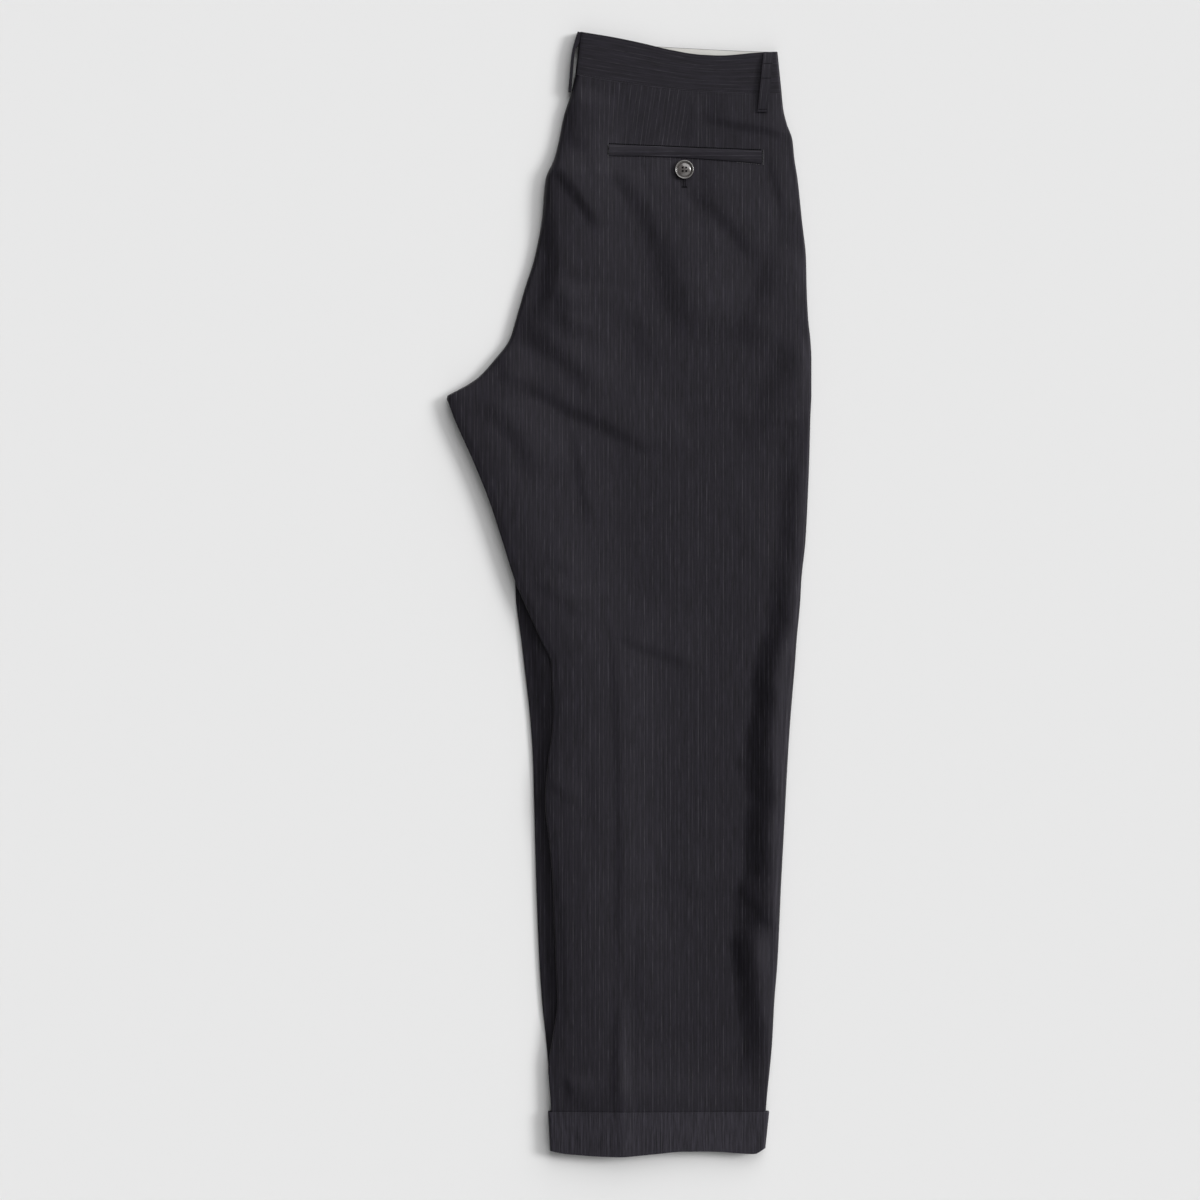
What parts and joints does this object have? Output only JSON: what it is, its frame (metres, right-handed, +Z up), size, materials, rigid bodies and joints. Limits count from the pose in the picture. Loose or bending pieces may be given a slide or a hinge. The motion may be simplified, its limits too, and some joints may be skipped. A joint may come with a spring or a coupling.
{
  "type": "pleated trousers",
  "caption": "Pinstriped pleated trousers with turn-ups, folded in half lengthwise along the centre seams and laid flat on one side.",
  "frame": {"origin": "middle of the bottom of the overall box, on the surface that the trousers lie on", "axes": "+Y along the legs towards the waist, +X towards the side seams, +Z up, away from the surface"},
  "size_m": [0.3448, 1.0596, 0.0165],
  "materials": {
    "suiting": "matte worsted with fine broken pinstripes",
    "lining": "matte plain weave",
    "button": "polished"
  },
  "bodies": {
    "root": {"right_back": "suiting", "right_front": "suiting", "left_front": "suiting", "left_back": "suiting", "waistband_right": "suiting", "waistband_left": "suiting", "fly_placket": "suiting", "belt_loop_centre_back": "suiting", "belt_loop_right_side": "suiting", "pocket_welt": "suiting", "cuff_left": "suiting", "cuff_right": "suiting", "waistband_lining": "lining", "pocket_button": "button"}
  },
  "joints": []
}
